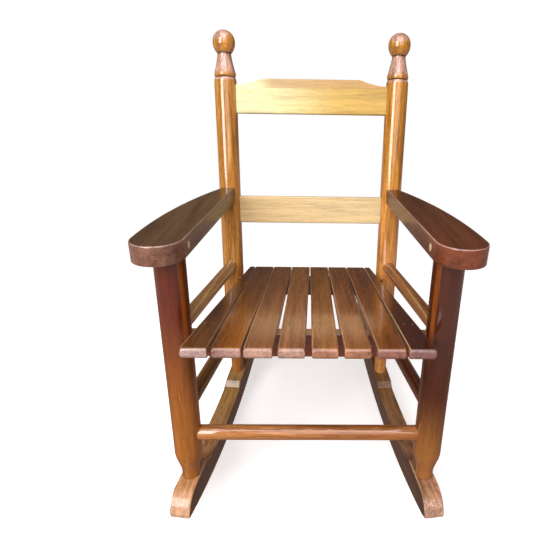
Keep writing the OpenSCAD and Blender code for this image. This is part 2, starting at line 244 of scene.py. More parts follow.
# Varnish: roughness of the wood under it, weight and roughness of the clear coat, strength of the grain
FINISHES = {
    "arm_wood": (0.42, 0.6, 0.16, 1.2),
    "front_post_wood": (0.45, 0.9, 0.16, 1.0),
    "back_post_wood": (0.42, 1.0, 0.10, 1.8),
    "back_slat_wood": (0.45, 0.6, 0.28, 0.7),
    "seat_wood": (0.42, 0.9, 0.14, 1.5),
    "rail_wood": (0.42, 0.8, 0.14, 1.0),
    "rung_wood": (0.40, 1.0, 0.12, 1.5),
    "rocker_wood": (0.42, 0.5, 0.16, 1.6),
    "plug_wood": (0.50, 0.3, 0.25, 0.5),
}
VARNISH_IOR = 1.8

# Tone of each piece at the two ends of its grain, as linear colours. Ends go left to right,
# bottom to top and front to back. Part of the difference between left and right pieces, and
# between the two ends of a piece, such as the crest's pale left end, is painted light of the
# room: painted highlights and shade.
STAINS_AND_LIGHT = {
    "arm_left": ((0.10, 0.055, 0.025), (0.13, 0.075, 0.03)),
    "arm_right": ((0.11, 0.032, 0.011), (0.10, 0.034, 0.009)),
    "front_post_left": ((0.36, 0.13, 0.02), (0.11, 0.015, 0.004)),
    "front_post_right": ((0.34, 0.14, 0.03), (0.065, 0.013, 0.005)),
    "back_post_left": ((0.38, 0.14, 0.02), (0.56, 0.26, 0.05)),
    "back_post_right": ((0.76, 0.34, 0.09), (0.56, 0.26, 0.04)),
    "crest_slat": ((0.78, 0.78, 0.42), (0.65, 0.44, 0.09)),
    "lower_back_slat": ((0.78, 0.60, 0.30), (0.78, 0.62, 0.33)),
    "seat_slat_1": ((0.12, 0.045, 0.012), (0.11, 0.042, 0.012)),
    "seat_slat_2": ((0.24, 0.085, 0.015), (0.14, 0.052, 0.010)),
    "seat_slat_3": ((0.24, 0.10, 0.036), (0.16, 0.062, 0.014)),
    "seat_slat_4": ((0.31, 0.13, 0.05), (0.23, 0.095, 0.022)),
    "seat_slat_5": ((0.30, 0.12, 0.032), (0.205, 0.078, 0.008)),
    "seat_slat_6": ((0.29, 0.11, 0.032), (0.18, 0.062, 0.010)),
    "seat_slat_7": ((0.20, 0.065, 0.016), (0.17, 0.050, 0.006)),
    "seat_slat_8": ((0.05, 0.012, 0.006), (0.12, 0.04, 0.012)),
    "front_seat_rail": ((0.16, 0.035, 0.015), (0.16, 0.035, 0.015)),
    "rear_seat_rail": ((0.16, 0.035, 0.015), (0.16, 0.035, 0.015)),
    "front_rung": ((0.52, 0.23, 0.075), (0.50, 0.20, 0.06)),
    "rear_rung": ((0.40, 0.17, 0.05), (0.40, 0.17, 0.05)),
    "upper_side_rung_left": ((0.46, 0.26, 0.09), (0.46, 0.26, 0.09)),
    "upper_side_rung_right": ((0.34, 0.14, 0.035), (0.34, 0.14, 0.035)),
    "lower_side_rung_left": ((0.18, 0.085, 0.02), (0.18, 0.085, 0.02)),
    "lower_side_rung_right": ((0.15, 0.04, 0.015), (0.15, 0.04, 0.015)),
    "rocker_left": ((0.50, 0.26, 0.11), (0.34, 0.20, 0.06)),
    "rocker_right": ((0.46, 0.25, 0.14), (0.38, 0.20, 0.07)),
    "arm_plugs": ((0.85, 0.72, 0.48), (0.85, 0.72, 0.48)),
}
ALONG_SQUEEZE = 1 / 18
DRIFT_SCALE, RING_SCALE, FIBRE_SCALE, PORE_SCALE, PATCH_SCALE = 26, 170, 900, 1900, 60
PORE_FROM, PORE_GAIN, PORE_DEPTH = 0.60, 9, 0.45
BRIGHTEN = (1.5, 1.5, 1.5)
GRAIN_DARK = (0.30, 0.26, 0.22)
GRAIN_SHADES = [(0.1, GRAIN_DARK), (0.5, (0.66, 0.66, 0.66)), (0.9, (1.0, 1.0, 1.0))]
# Colours laid over the tone of the wood. All but the paler slat sides are painted light: highlights,
# reflections and shade.
PALE_SIDE_AND_LIT_TOP = (0.42, 0.24, 0.12)
ARRIS_HIGHLIGHT = (0.60, 0.40, 0.24)
NOSE_HIGHLIGHT = (0.85, 0.62, 0.52)
CREASE_AND_SIDE_SHADE = (0.05, 0.026, 0.014)
STEP_SHADE = (0.07, 0.025, 0.01)
FINIAL_HIGHLIGHT = (0.60, 0.42, 0.40)
STRIPE = (0.42, 0.12, 0.015)
CHAMFER_SHADE = (0.50, 0.29, 0.10)


def separate(tree, vector):
    node = tree.nodes.new("ShaderNodeSeparateXYZ")
    link(tree, vector, node.inputs[0])
    return node.outputs


def map_range(tree, value, low, high, out_low=0.0, out_high=1.0):
    node = tree.nodes.new("ShaderNodeMapRange")
    node.interpolation_type = "SMOOTHSTEP"
    for socket, number in zip(node.inputs[1:5], (low, high, out_low, out_high)):
        socket.default_value = number
    link(tree, value, node.inputs[0])
    return node.outputs[0]


def facing(tree, direction, start, full):
    """1 where the surface faces a fixed direction of the chair, 0 where it turns away."""
    normal = tree.nodes.new("ShaderNodeNewGeometry").outputs["Normal"]
    node = tree.nodes.new("ShaderNodeVectorMath")
    node.operation = "DOT_PRODUCT"
    link(tree, normal, node.inputs[0])
    node.inputs[1].default_value = Vector(direction).normalized()
    return map_range(tree, node.outputs["Value"], start, full)


def wood(name, look, axis, seed, span, accents=()):
    """Varnished wood with its grain along one local axis: tone drift, rings, fibres and pores.

    span is the stretch of that axis, in millimetres, over which the tone runs from its first
    colour to its second. accents are (mask builder, colour, strength) laid over that tone; most
    of them are painted highlights, reflections and shade.
    """
    rough, coat, coat_rough, strength = FINISHES[look]
    material = bpy.data.materials.new(name + "_finish")
    material.use_nodes = True
    tree = material.node_tree
    shader = tree.nodes["Principled BSDF"]
    coords = grain_coords(tree)
    scale = [1.0, 1.0, 1.0]
    scale["XYZ".index(axis)] = ALONG_SQUEEZE
    offset = (seed * 1.37 % 5, seed * 2.11 % 5, seed * 3.73 % 5)
    grain = mapped(tree, coords, scale, offset)

    low_end, high_end = STAINS_AND_LIGHT[name]
    along = map_range(tree, separate(tree, coords)["XYZ".index(axis)], span[0] * MM, span[1] * MM)
    stain_and_light = mix_colour(tree, along, low_end, high_end)
    # The accents lay painted highlights, reflections and shade over the tone.
    for mask, colour, amount in accents:
        stain_and_light = mix_colour(tree, math_node(tree, "MULTIPLY", mask(tree, coords), amount), stain_and_light, colour)

    drift = noise(tree, grain, DRIFT_SCALE, 2, 0.5)
    rings = noise(tree, grain, RING_SCALE, 3, 0.55, 0.6)
    fibres = noise(tree, grain, FIBRE_SCALE, 3, 0.6)
    tone = math_node(tree, "MULTIPLY", math_node(tree, "SUBTRACT", drift, 0.5), 0.9)
    for part, weight in ((rings, 0.85), (fibres, 0.7)):
        part = math_node(tree, "MULTIPLY", math_node(tree, "SUBTRACT", part, 0.5), weight * strength)
        tone = math_node(tree, "ADD", tone, part)
    tone = math_node(tree, "ADD", tone, 0.5, clamp=True)
    shade = ramp(tree, tone, GRAIN_SHADES)
    pores = noise(tree, grain, PORE_SCALE, 1, 0.5)
    above = math_node(tree, "SUBTRACT", pores, PORE_FROM)
    pore_mask = math_node(tree, "MULTIPLY", above, PORE_GAIN, clamp=True)
    pore_mask = math_node(tree, "MULTIPLY", pore_mask, PORE_DEPTH * strength)
    shade = mix_colour(tree, pore_mask, shade, GRAIN_DARK)
    colour = mix_colour(tree, 1.0, stain_and_light, shade, "MULTIPLY")
    colour = mix_colour(tree, 1.0, colour, BRIGHTEN, "MULTIPLY")
    link(tree, colour, shader.inputs["Base Color"])

    uneven = noise(tree, mapped(tree, coords, (1, 1, 1), offset), PATCH_SCALE, 2, 0.5)
    link(
        tree, math_node(tree, "ADD", math_node(tree, "MULTIPLY", uneven, 0.16), rough - 0.08),
        shader.inputs["Roughness"],
    )
    shader.inputs["Coat Weight"].default_value = coat
    shader.inputs["Coat Roughness"].default_value = coat_rough
    shader.inputs["Coat IOR"].default_value = VARNISH_IOR
    shader.inputs["Specular IOR Level"].default_value = 0.05

    relief = math_node(tree, "SUBTRACT", math_node(tree, "MULTIPLY", fibres, 0.5), pore_mask)
    bump = tree.nodes.new("ShaderNodeBump")
    bump.inputs["Strength"].default_value = 0.25
    bump.inputs["Distance"].default_value = 0.00025
    link(tree, relief, bump.inputs["Height"])
    link(tree, bump.outputs["Normal"], shader.inputs["Normal"])
    return material


def metal(name, colour, rough):
    material = bpy.data.materials.new(name + "_finish")
    material.use_nodes = True
    tree = material.node_tree
    shader = tree.nodes["Principled BSDF"]
    coords = grain_coords(tree)
    spots = noise(tree, coords, 1500, 3, 0.6)
    dull = tuple(c * 0.55 for c in colour)
    link(tree, ramp(tree, spots, [(0.35, dull), (0.6, colour)]), shader.inputs["Base Color"])
    link(
        tree,
        math_node(tree, "ADD", math_node(tree, "MULTIPLY", spots, 0.25), rough),
        shader.inputs["Roughness"],
    )
    shader.inputs["Metallic"].default_value = 1.0
    return material


# ---------------------------------------------------------------- making pieces

def new_piece(name, bm, matrix, material, nodes, sharp=38.0, weighted=False):
    """Turns a bmesh, in millimetres in its own frame, into a piece that rides on the chair."""
    bmesh.ops.recalc_face_normals(bm, faces=bm.faces)
    bmesh.ops.scale(bm, vec=(MM, MM, MM), verts=bm.verts)
    mesh = bpy.data.meshes.new(name)
    bm.to_mesh(mesh)
    bm.free()
    # The grain follows the piece's own frame, so its coordinates are kept before it is placed
    own = mesh.attributes.new(GRAIN, "FLOAT_VECTOR", "POINT")
    own.data.foreach_set("vector", [c for v in mesh.vertices for c in v.co])
    mesh.transform(matrix)
    for polygon in mesh.polygons:
        polygon.use_smooth = True
    mesh.set_sharp_from_angle(angle=rad(sharp))
    mesh.materials.append(material)
    piece = bpy.data.objects.new(name, mesh)
    bpy.context.scene.collection.objects.link(piece)
    if weighted:
        modifier = piece.modifiers.new("even_shading", "WEIGHTED_NORMAL")
        modifier.keep_sharp = True
        modifier.weight = 80
    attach(piece, "root")
    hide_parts(*nodes)
    return piece


def ring(bm, r, z, segments, centre=(0, 0)):
    points = []
    for k in range(segments):
        a = 2 * math.pi * k / segments
        points.append(bm.verts.new((centre[0] + r * math.cos(a), centre[1] + r * math.sin(a), z)))
    return points


def wall(bm, rings):
    """Faces between each ring of vertices and the next."""
    for low, high in zip(rings, rings[1:]):
        for k in range(len(low)):
            n = (k + 1) % len(low)
            bm.faces.new((low[k], low[n], high[n], high[k]))


def cap(bm, rim, z, centre=(0, 0)):
    """Closes a ring with a fan of faces."""
    tip = bm.verts.new((*centre, z))
    for k in range(len(rim)):
        bm.faces.new((rim[k], rim[(k + 1) % len(rim)], tip))


def lathe(profile, segments=72):
    """A turned solid: profile is (radius, height) from bottom to top, closed to the axis."""
    bm = bmesh.new()
    rings = [ring(bm, r, z, segments) for r, z in profile]
    wall(bm, rings)
    cap(bm, rings[0], profile[0][1])
    cap(bm, rings[-1], profile[-1][1])
    return bm


def absorb(bm, part, matrix):
    """Places a part and adds it to a mesh in the making."""
    bmesh.ops.transform(part, matrix=matrix, verts=part.verts)
    scratch = bpy.data.meshes.new("part")
    part.to_mesh(scratch)
    part.free()
    bm.from_mesh(scratch)
    bpy.data.meshes.remove(scratch)


def cut_below(bm, point, normal):
    """Removes what lies under a plane and closes the cut."""
    result = bmesh.ops.bisect_plane(
        bm, geom=bm.verts[:] + bm.edges[:] + bm.faces[:], dist=1e-4,
        plane_co=point, plane_no=normal, clear_inner=True,
    )
    edges = [e for e in result["geom_cut"] if isinstance(e, bmesh.types.BMEdge)]
    bmesh.ops.contextual_create(bm, geom=edges)


def prism(outline, axes, low, high, bevel_low, bevel_high, segments=3):
    """A plank: an outline in two local axes, given thickness along the third, with rounded rims."""
    bm = bmesh.new()
    a, b, c = ("XYZ".index(x) for x in axes)

    def vertex(p, depth):
        co = [0.0, 0.0, 0.0]
        co[a], co[b], co[c] = p[0], p[1], depth
        return bm.verts.new(co)

    bottom = [vertex(p, low) for p in outline]
    top = [vertex(p, high) for p in outline]
    count = len(outline)
    for k in range(count):
        n = (k + 1) % count
        bm.faces.new((bottom[k], bottom[n], top[n], top[k]))
    faces = (bm.faces.new(bottom), bm.faces.new(top))
    for face, size in zip(faces, (bevel_low, bevel_high)):
        bmesh.ops.bevel(
            bm, geom=list(face.edges), offset=size, offset_type="OFFSET", segments=segments,
            profile=0.5, affect="EDGES", clamp_overlap=True,
        )
    return bm


def boxed(half, edge, segments=3):
    """A rectangular bar centred on its local origin, with rounded edges."""
    bm = bmesh.new()
    bmesh.ops.create_cube(bm, size=2)
    bmesh.ops.scale(bm, vec=half, verts=bm.verts)
    bmesh.ops.bevel(
        bm, geom=bm.edges[:], offset=edge, offset_type="OFFSET", segments=segments,
        profile=0.5, affect="EDGES", clamp_overlap=True,
    )
    return bm


# ---------------------------------------------------------------- posts

FOOT_SINK = 6
FRONT_TOP_SINK = 4


def post_profile(foot_r, straight, shaft_r, shaft_end, shaft_steps):
    """Straight foot, then a soft taper up to the full shaft, and the shaft."""
    points = [(foot_r, -FOOT_SINK), (foot_r, straight)]
    steps = 14
    for i in range(1, steps + 1):
        t = i / steps
        points.append((foot_r + (shaft_r - foot_r) * smooth(t), straight + (SHAFT_FROM - straight) * t))
    for i in range(1, shaft_steps + 1):
        points.append((shaft_r, SHAFT_FROM + (shaft_end - SHAFT_FROM) * i / shaft_steps))
    return points


def back_profile():
    """Shaft with a rounded shoulder, flared skirt, neck and ball."""
    top = BACK_LEN
    points = post_profile(BACK_FOOT_R, BACK_FOOT_STRAIGHT, BACK_R, top - SHOULDER_AT, 14)
    shoulder_steps, flare_steps, ball_steps = 8, 12, 24
    for i in range(1, shoulder_steps + 1):
        a = rad(90 * i / shoulder_steps)
        points.append((
            CREASE_R + (BACK_R - CREASE_R) * math.cos(a),
            top - SHOULDER_AT + (SHOULDER_AT - CREASE_AT) * math.sin(a),
        ))
    skirt = top - CREASE_AT
    points += [(r, skirt + rise) for r, rise in SKIRT_LIP]
    for i in range(flare_steps + 1):
        t = i / flare_steps
        r = NECK_R + (SKIRT_R - NECK_R) * (1 - t) ** FLARE_POWER
        points.append((r, top - SKIRT_AT + (SKIRT_AT - NECK_AT) * t))
    start = -math.degrees(math.acos(NECK_R / BALL_R))
    for i in range(1, ball_steps + 1):
        a = rad(start + (90 - start) * i / ball_steps)
        reach = BALL_R if a > 0 else BALL_LOW
        points.append((max(0.15, BALL_R * math.cos(a)), top - BALL_R + reach * math.sin(a)))
    return points


def make_post(name, foot, axis, side, profile, slope, material):
    origin = side_point(foot, side)
    matrix = stand(origin, side_point(axis, side))
    bm = lathe(profile)
    local = matrix.to_3x3().inverted() @ land_normal(slope, side)
    cut_below(bm, Vector((0, 0, 0)), local)
    return new_piece(name + "_turned", bm, matrix, material, [name])


# ---------------------------------------------------------------- build: posts

FRONT_LEN = (FRONT_TOP - FRONT_FOOT).length
FRONT_PROFILE = post_profile(
    FRONT_FOOT_R, FRONT_FOOT_STRAIGHT, FRONT_R, FRONT_LEN + FRONT_TOP_SINK, 10,
)


def near(tree, value, centre, half):
    """1 within a narrow stretch around a place, 0 outside it."""
    away = math_node(tree, "ABSOLUTE", math_node(tree, "SUBTRACT", value, centre * MM))
    return map_range(tree, away, half * 0.4 * MM, half * MM, 1.0, 0.0)


BACK_POST_FADE = {-1: (20, 250), 1: (120, 430)}


def back_post_finish_and_gleams(side, word):
    """Painted shade in the creases of the finial, and painted highlights on the neck, shoulder and crown.

    The crown's pale side stands for a gleam on the ball. It stays on the front of the ball.
    """
    def neck(tree, coords):
        return near(tree, separate(tree, coords)[2], BACK_LEN - 46, 18)

    def crown(tree, coords):
        height = map_range(tree, separate(tree, coords)[2], (BACK_LEN - 20) * MM, (BACK_LEN - 12) * MM)
        return math_node(tree, "MULTIPLY", facing(tree, (-0.2, -0.6, 0.75), 0.55, 0.9), height)

    def creases(tree, coords):
        height = separate(tree, coords)[2]
        return math_node(
            tree, "MAXIMUM", near(tree, height, BACK_LEN - NECK_AT, 1.6),
            near(tree, height, BACK_LEN - CREASE_AT, 1.3),
        )

    def shoulder(tree, coords):
        return near(tree, separate(tree, coords)[2], BACK_LEN - CREASE_AT - 2.6, 2.4)

    # Painted highlights on the neck, crown and shoulder; painted shade in the creases.
    accents = [
        (neck, FINIAL_HIGHLIGHT, 0.65), (crown, FINIAL_HIGHLIGHT, 0.6),
        (shoulder, FINIAL_HIGHLIGHT, 0.6), (creases, CREASE_AND_SIDE_SHADE, 0.8),
    ]
    return wood("back_post_" + word, "back_post_wood", "Z", 7 + side, BACK_POST_FADE[side], accents)


FRONT_POST_FADE = {-1: (60, 260), 1: (20, 140)}


def front_post_finish_and_gleam(side, word):
    """A lighter stripe down the inner front of each post, near the arm. It stands for a gleam."""
    def stripe(tree, coords):
        height = map_range(tree, separate(tree, coords)[2], 0.16, 0.22)
        return math_node(tree, "MULTIPLY", facing(tree, (-side * 0.80, -0.60, 0), 0.965, 0.995), height)

    accents = [(stripe, STRIPE, 0.55)]
    return wood("front_post_" + word, "front_post_wood", "Z", 3 + side, FRONT_POST_FADE[side], accents)


for side, word in ((-1, "left"), (1, "right")):
    make_post(
        "front_post_" + word, FRONT_FOOT, FRONT_TOP - FRONT_FOOT, side, FRONT_PROFILE,
        FRONT_LAND_SLOPE, front_post_finish_and_gleam(side, word),
    )
    make_post(
        "back_post_" + word, BACK_FOOT, BACK_DIR, side, back_profile(),
        REAR_LAND_SLOPE, back_post_finish_and_gleams(side, word),
    )


# ---------------------------------------------------------------- build: rungs

def make_rung(name, a, b, seed):
    along = b - a
    length = along.length - 2 * RUNG_SETBACK
    start = a + along.normalized() * RUNG_SETBACK
    steps = 8
    profile = [(RUNG_R - 1, 0), (RUNG_R, 1.5)]
    profile += [(RUNG_R, 1.5 + (length - 3) * i / steps) for i in range(1, steps + 1)]
    profile += [(RUNG_R - 1, length)]
    new_piece(
        name + "_turned", lathe(profile, 56), stand(start, along),
        wood(name, "rung_wood", "Z", seed, (0, length)), [name],
    )


def front_at(z, side):
    return side_point(on_axis(FRONT_FOOT, FRONT_TOP, z), side)


def back_at(z, side):
    return side_point(on_axis(BACK_FOOT, BACK_TOP, z), side)


make_rung("front_rung", front_at(FRONT_RUNG_Z, -1), front_at(FRONT_RUNG_Z, 1), 11)
make_rung("rear_rung", back_at(REAR_RUNG_Z, -1), back_at(REAR_RUNG_Z, 1), 12)
for side, word in ((-1, "left"), (1, "right")):
    for level, (back_z, front_z), seed in (("upper", UPPER_RUNG_Z, 14), ("lower", LOWER_RUNG_Z, 17)):
        name = f"{level}_side_rung_{word}"
        make_rung(name, back_at(back_z, side), front_at(front_z, side), seed + side)


# ---------------------------------------------------------------- build: back slats

BACK_FRAME = tilt(Vector((0, BACK_FOOT.y, BACK_FOOT.z)), -BACK_LEAN)


def back_slat_half(from_foot, height):
    z = BACK_FOOT.z + (from_foot + height / 2) * math.cos(rad(BACK_LEAN))
    return back_at(z, 1).x - BACK_SLAT_INSET


def crest_outline():
    half = back_slat_half(CREST_FROM_FOOT, CREST_H)
    points = [(-half, 0.0), (half, 0.0), (half, CREST_H - CREST_DROP)]
    steps = 10
    curve = []
    for i in range(steps, -1, -1):
        t = i / steps
        x = CREST_FLAT_HALF + (CREST_END_HALF - CREST_FLAT_HALF) * t
        curve.append((x, CREST_H - CREST_DROP * math.sin(math.pi / 2 * t)))
    points += curve
    points += [(-x, z) for x, z in reversed(curve)]
    points.append((-half, CREST_H - CREST_DROP))
    return points


def crest_band(tree, coords):
    """Painted shade on the wide shallow chamfer along the top of the crest, for its dimmer reflection."""
    place = separate(tree, coords)
    height = map_range(tree, place[2], (CREST_H - BAND_H - 1) * MM, (CREST_H - BAND_H) * MM)
    return math_node(tree, "MULTIPLY", height, map_range(tree, place[0], -0.085, -0.055))


def chamfer_top(bm):
    """Leans the front face back above a line across the crest."""
    edge = Vector((0, 0, CREST_H - BAND_H))
    geometry = list(bm.verts) + list(bm.edges) + list(bm.faces)
    bmesh.ops.bisect_plane(bm, geom=geometry, plane_co=edge, plane_no=(0, 0, 1), dist=0.001)
    for vertex in bm.verts:
        if vertex.co.y < 0 and vertex.co.z > edge.z:
            vertex.co.y += BAND_DEPTH * (vertex.co.z - edge.z) / BAND_H


def make_back_slat(name, outline, from_foot, seed, accents=(), chamfered=False):
    bm = prism(outline, "XZY", -BACK_SLAT_T / 2, BACK_SLAT_T / 2, 2.0, 1.5, 4)
    if chamfered:
        chamfer_top(bm)
    matrix = BACK_FRAME @ Matrix.Translation((0, 0, from_foot * MM))
    new_piece(
        name + "_shaped", bm, matrix, wood(name, "back_slat_wood", "X", seed, (-90, 60), accents),
        [name], weighted=True,
    )


lower_half = back_slat_half(LOWER_FROM_FOOT, LOWER_H)
# The crest's top chamfer carries painted shade.
make_back_slat(
    "crest_slat", crest_outline(), CREST_FROM_FOOT, 21, [(crest_band, CHAMFER_SHADE, 0.7)], chamfered=True,
)
make_back_slat(
    "lower_back_slat",
    [(-lower_half, 0), (lower_half, 0), (lower_half, LOWER_H), (-lower_half, LOWER_H)],
    LOWER_FROM_FOOT, 22,
)


# ---------------------------------------------------------------- build: seat

SEAT_FRAME = tilt(SEAT_ORIGIN, -SEAT_SLOPE)


def slat_x(index, pitch):
    return (index - (SLATS + 1) / 2) * pitch


def slat_x_front(index):
    return slat_x(index, PITCH_FRONT) + SLAT_SHIFT[index - 1]


def slat_edges(index):
    """Left and right edge of a slat: x at the front and at the back."""
    front, back = slat_x_front(index), slat_x(index, PITCH_BACK)
    half_front = (SLAT_W + SLAT_EXTRA[index - 1]) / 2
    half_back = (PITCH_BACK - SLAT_GAP_BACK) / 2
    left = (front - half_front, -SEAT_BACK_HALF if index == 1 else back - half_back)
    right = (front + half_front, SEAT_BACK_HALF if index == SLATS else back + half_back)
    return left, right


def slat_side_profile():
    """Side view, thicker and rounded at the front and eased at the back, in (y, z)."""
    r = SLAT_NOSE_R
    points = arc(r, r - SLAT_FRONT_T, r, 270, 180, 6) + arc(r, -r, r, 180, 90, 6)
    points += arc(SLAT_LEN - 2, -2, 2, 90, 0, 3)
    points += arc(SLAT_LEN - 2, 2 - SLAT_T, 2, 0, -90, 3)
    points.append((SLAT_EVEN_FROM, -SLAT_T))
    return points


def slat_side_mask(tree, coords):
    """The paler sides of the slats."""
    return math_node(tree, "MAXIMUM", facing(tree, (1, 0, 0), 0.35, 0.8), facing(tree, (-1, 0, 0), 0.35, 0.8))


def slat_end_highlight_mask(tree, coords):
    """Painted highlight on the rounded front end."""
    return facing(tree, (0, -1, 0.1), 0.5, 0.8)


SLAT_END_HIGHLIGHTS = (
    (0.48, 0.36, 0.34), (0.40, 0.26, 0.24), (0.48, 0.32, 0.26), (0.52, 0.35, 0.28),
    (0.44, 0.22, 0.14), (0.44, 0.22, 0.13), (0.32, 0.15, 0.12), (0.28, 0.15, 0.14),
)


def slat_arris_highlight_mask(tree, coords):
    """A painted highlight along the left top arris of each slat."""
    return facing(tree, (-1, 0, 1), 0.80, 0.95)


def make_slat(index):
    left, right = slat_edges(index)
    bm = bmesh.new()
    rows = []
    for edge in (left, right):
        rows.append([
            bm.verts.new((edge[0] + (edge[1] - edge[0]) * y / SLAT_LEN, y, z))
            for y, z in slat_side_profile()
        ])
    count = len(rows[0])
    for k in range(count):
        n = (k + 1) % count
        bm.faces.new((rows[0][k], rows[0][n], rows[1][n], rows[1][k]))
    for row in rows:
        face = bm.faces.new(row)
        bmesh.ops.bevel(
            bm, geom=list(face.edges), offset=SLAT_EDGE, offset_type="OFFSET", segments=3,
            profile=0.5, affect="EDGES", clamp_overlap=True,
        )
    name = f"seat_slat_{index}"
    # Painted highlights on the arris and the front end; the sides are paler.
    new_piece(
        name + "_shaped", bm, SEAT_FRAME,
        wood(name, "seat_wood", "Y", 30 + index, (60, 260), [
            (slat_side_mask, PALE_SIDE_AND_LIT_TOP, 0.8), (slat_arris_highlight_mask, ARRIS_HIGHLIGHT, 0.45),
            (slat_end_highlight_mask, SLAT_END_HIGHLIGHTS[index - 1], 0.75),
        ]),
        [name], weighted=True,
    )


for index in range(1, SLATS + 1):
    make_slat(index)


# Painted light: the top of each rail is paler, as if lit from above.
def rail_lit_top_mask(tree, coords):
    return facing(tree, (0, 0, 1), 0.6, 0.9)


def make_rail(name, at, half, seed):
    bm = boxed((half + RAIL_TENON, RAIL_T / 2, RAIL_H / 2), RAIL_EDGE)
    matrix = SEAT_FRAME @ Matrix.Translation(Vector((0, at, -SLAT_T - RAIL_H / 2)) * MM)
    new_piece(
        name + "_shaped", bm, matrix,
        wood(name, "rail_wood", "X", seed, (-half, half), [(rail_lit_top_mask, PALE_SIDE_AND_LIT_TOP, 0.9)]),
        [name], weighted=True,
    )


make_rail("front_seat_rail", FRONT_RAIL_AT, FRONT_FOOT.x - FRONT_R, 41)
make_rail("rear_seat_rail", REAR_RAIL_AT, REAR_RAIL_HALF, 42)


def brad_places():
    for index in range(1, SLATS + 1):
        for at in (FRONT_RAIL_AT, REAR_RAIL_AT):
            t = at / SLAT_LEN
            x = slat_x_front(index) * (1 - t) + slat_x(index, PITCH_BACK) * t
            if index in (1, SLATS) and at == REAR_RAIL_AT:
                yield x - math.copysign(BRAD_OFFSET, x), at
            else:
                yield x - BRAD_OFFSET, at
                yield x + BRAD_OFFSET, at


def dome(bm, centre, radius, height, segments=20):
    """A low domed head standing on z = 0 at the centre."""
    profile = [(1.0, -0.6), (1.0, 0.0), (0.8, 0.55), (0.45, 0.9)]
    rings = [ring(bm, radius * r, h * height, segments, centre) for r, h in profile]
    wall(bm, rings)
    cap(bm, rings[0], profile[0][1] * height, centre)
    cap(bm, rings[-1], height, centre)


bm = bmesh.new()
for x, y in brad_places():
    dome(bm, (x, y), BRAD_R, BRAD_HEAD)
new_piece(
    "seat_brad_heads", bm, SEAT_FRAME, metal("seat_brads", (0.80, 0.72, 0.60), 0.3),
    ["seat_brads"],
)


# ---------------------------------------------------------------- build: arms

def arm_edge_outer(y):
    """Outer edge of the right arm's plan at a place along it."""
    dy = y - ARM_NOSE_R
    return ARM_NOSE_X + ARM_NOSE_R - ARM_OUTER_R + math.sqrt(ARM_OUTER_R ** 2 - dy ** 2)


def arm_outline(side):
    inner_front = ARM_NOSE_X - ARM_NOSE_R
    points = arc(ARM_NOSE_X, ARM_NOSE_R, ARM_NOSE_R, 180, 360, 30)
    steps = 16
    for i in range(1, steps + 1):
        y = ARM_NOSE_R + (ARM_BACK - ARM_NOSE_R) * i / steps
        points.append((arm_edge_outer(y), y))
    outer_back = points[-1][0]
    for i in range(1, 9):
        points.append((outer_back + (ARM_INNER_BACK_X - outer_back) * i / 8, ARM_BACK))
    for i in range(1, 8):
        t = i / 8
        points.append((
            ARM_INNER_BACK_X + (inner_front - ARM_INNER_BACK_X) * t, ARM_BACK + (ARM_NOSE_R - ARM_BACK) * t,
        ))
    return [(x * side, y) for x, y in points]


def cope(bm, side):
    """Draws the arm's back end forward onto the round of the back post."""
    to_world = tilt(ARM_ORIGIN, -ARM_SLOPE).to_3x3()
    foot, axis = side_point(BACK_FOOT, side), side_point(BACK_DIR, side).normalized()
    along = to_world @ Vector((0, 1, 0))
    across = along - axis * along.dot(axis)
    for vertex in bm.verts:
        if vertex.co.y < ARM_BACK - 30:
            continue
        start = to_world @ Vector((vertex.co.x, 0, vertex.co.z)) + ARM_ORIGIN - foot
        start -= axis * start.dot(axis)
        a, b, c = across.length_squared, 2 * start.dot(across), start.length_squared - BACK_R ** 2
        root = b * b - 4 * a * c
        if root > 0:
            vertex.co.y = min(vertex.co.y, (-b - math.sqrt(root)) / (2 * a))


def arm_rim_highlight_mask(tree, coords):
    """Painted highlight on the rounded rim of the arm's top."""
    round_in = facing(tree, (0, 0, 1), 0.35, 0.6)
    round_out = math_node(tree, "SUBTRACT", 1.0, facing(tree, (0, 0, 1), 0.8, 0.96))
    return math_node(tree, "MULTIPLY", round_in, round_out)


ARM_FRAME = tilt(ARM_ORIGIN, -ARM_SLOPE)
ARM_RIM_HIGHLIGHT = (0.52, 0.36, 0.32)
ARM_SIDE_REFLECTIONS = {-1: (0.26, 0.13, 0.09), 1: (0.22, 0.065, 0.03)}


def arm_side_reflection_mask(tree, coords):
    """Painted reflection on the upright edge of the arm, strongest round the nose."""
    upright = math_node(tree, "SUBTRACT", 1.0, facing(tree, (0, 0, 1), 0.45, 0.9))
    at_nose = map_range(tree, separate(tree, coords)[1], 0.03, 0.08, 1.0, 0.2)
    return math_node(tree, "MULTIPLY", upright, at_nose)


for side, word in ((-1, "left"), (1, "right")):
    bm = prism(arm_outline(side), "XYZ", -ARM_T, 0, 2.0, 3.5, 5)
    cope(bm, side)
    name = "arm_" + word
    # Painted reflection on the arm's upright edge and painted highlight on its rim.
    new_piece(
        name + "_shaped", bm, ARM_FRAME, wood(name, "arm_wood", "Y", 51 + side, (20, 250), [
            (arm_side_reflection_mask, ARM_SIDE_REFLECTIONS[side], 0.8), (arm_rim_highlight_mask, ARM_RIM_HIGHLIGHT, 0.55),
        ]),
        [name], weighted=True,
    )


def make_plugs():
    bm = bmesh.new()
    inner = ARM_NOSE_X - ARM_NOSE_R
    for side in (-1, 1):
        part = bmesh.new()
        dome(part, (0, 0), PLUG_R, PLUG_HEAD, 32)
        slant = math.atan2(inner - ARM_INNER_BACK_X, ARM_BACK - ARM_NOSE_R)
        x = inner - (PLUG_AT - ARM_NOSE_R) * math.tan(slant)
        turn = Matrix.Rotation(-side * math.pi / 2, 4, "Y")
        move = Matrix.Translation((side * x, PLUG_AT, PLUG_HEIGHT - ARM_T))
        absorb(bm, part, move @ turn)
    new_piece(
        "arm_plug_faces", bm, ARM_FRAME, wood("arm_plugs", "plug_wood", "Y", 61, (0, 60)),
        ["arm_plugs"],
    )


make_plugs()


